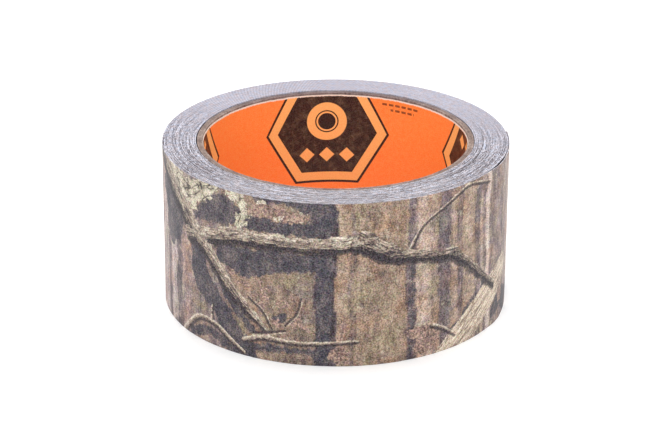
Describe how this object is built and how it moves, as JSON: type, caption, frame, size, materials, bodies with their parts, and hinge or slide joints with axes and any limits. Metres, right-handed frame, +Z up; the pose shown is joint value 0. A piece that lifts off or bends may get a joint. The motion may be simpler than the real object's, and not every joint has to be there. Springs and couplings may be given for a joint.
{
  "type": "duct tape roll",
  "caption": "Roll of cloth duct tape printed with a bark and branch camouflage, on a labelled paperboard core, with a free end that peels off.",
  "frame": {"origin": "centre of the wound edge that the roll lies on", "axes": "+Z up along the roll's axis, +X towards the strip's free end; seen from above the strip is wound anticlockwise"},
  "size_m": [0.0986, 0.0981, 0.048],
  "materials": {
    "printed_film": "printed polyethylene film, semi-gloss",
    "scrim_cloth": "open woven scrim",
    "rubber_adhesive": "tacky grey rubber adhesive",
    "paperboard": "raw paperboard",
    "label_paper": "coated paper, printed orange"
  },
  "bodies": {
    "roll": {"core_inner_ply": "paperboard", "core_middle_ply": "paperboard", "core_outer_ply": "paperboard", "core_label": "label_paper", "tape_film": "printed_film", "tape_cloth": "scrim_cloth", "tape_adhesive": "rubber_adhesive"},
    "tail_1": {"tail_1_film": "printed_film", "tail_1_cloth": "scrim_cloth", "tail_1_adhesive": "rubber_adhesive"},
    "tail_2": {"tail_2_film": "printed_film", "tail_2_cloth": "scrim_cloth", "tail_2_adhesive": "rubber_adhesive"},
    "tail_3": {"tail_3_film": "printed_film", "tail_3_cloth": "scrim_cloth", "tail_3_adhesive": "rubber_adhesive"},
    "tail_4": {"tail_4_film": "printed_film", "tail_4_cloth": "scrim_cloth", "tail_4_adhesive": "rubber_adhesive"},
    "tail_5": {"tail_5_film": "printed_film", "tail_5_cloth": "scrim_cloth", "tail_5_adhesive": "rubber_adhesive"}
  },
  "joints": [
    {"name": "tail_peel", "type": "hinge", "parent": "roll", "child": "tail_1", "pos_m": [0.0184, -0.04553, 0.024], "axis": [0, 0, -1], "range_deg": [0, 32]},
    {"name": "tail_bend_2", "type": "hinge", "parent": "tail_1", "child": "tail_2", "pos_m": [0.02972, -0.03913, 0.024], "axis": [0, 0, -1], "range_deg": [0, 32]},
    {"name": "tail_bend_3", "type": "hinge", "parent": "tail_2", "child": "tail_3", "pos_m": [0.03899, -0.03001, 0.024], "axis": [0, 0, -1], "range_deg": [0, 32]},
    {"name": "tail_bend_4", "type": "hinge", "parent": "tail_3", "child": "tail_4", "pos_m": [0.0456, -0.0188, 0.024], "axis": [0, 0, -1], "range_deg": [0, 32]},
    {"name": "tail_bend_5", "type": "hinge", "parent": "tail_4", "child": "tail_5", "pos_m": [0.04907, -0.00627, 0.024], "axis": [0, 0, -1], "range_deg": [0, 32]}
  ],
  "couplings": [
    {"joint": "tail_bend_2", "follows": "tail_peel", "ratio": 1},
    {"joint": "tail_bend_3", "follows": "tail_peel", "ratio": 1},
    {"joint": "tail_bend_4", "follows": "tail_peel", "ratio": 1},
    {"joint": "tail_bend_5", "follows": "tail_peel", "ratio": 1}
  ]
}
